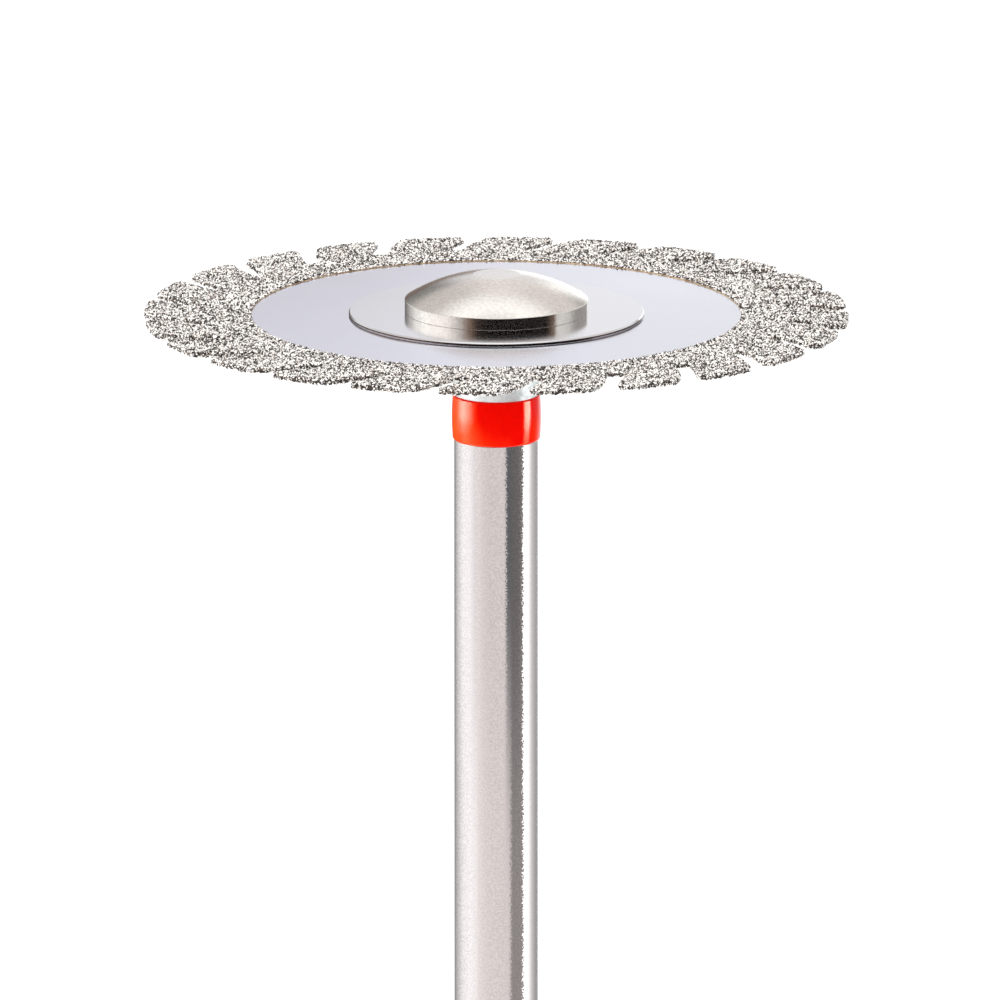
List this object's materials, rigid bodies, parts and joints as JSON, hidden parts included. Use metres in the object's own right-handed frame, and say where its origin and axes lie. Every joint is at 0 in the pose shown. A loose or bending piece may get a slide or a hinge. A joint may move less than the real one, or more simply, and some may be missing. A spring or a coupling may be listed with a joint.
{
  "type": "diamond cutting disc",
  "caption": "Thin flexible diamond-coated cutting disc with leaning slots round its rim, clamped under a domed head on a straight handpiece shank with a red colour ring.",
  "frame": {"origin": "on the shank's axis at its free end, which is the lowest point", "axes": "+Z along the shank from its free end to the domed head; +X to the right in the picture's view, where the camera looks along +Y"},
  "size_m": [0.0196, 0.0196, 0.0445],
  "materials": {
    "shank_steel": "centreless-ground stainless steel, fine marks round the shank",
    "ring_enamel": "glossy red enamel",
    "washer_steel": "rolled spring steel, satin mirror",
    "blank_steel": "rolled spring steel, satin mirror",
    "diamond_nickel": "fine diamond grit in electroplated nickel",
    "head_steel": "turned stainless steel, fine rings about the apex"
  },
  "bodies": {
    "root": {"shank": "shank_steel", "colour_ring": "ring_enamel", "lower_washer": "washer_steel", "disc_blank": "blank_steel", "diamond_coating": "diamond_nickel", "upper_washer": "washer_steel", "lens_head": "head_steel"}
  },
  "joints": []
}
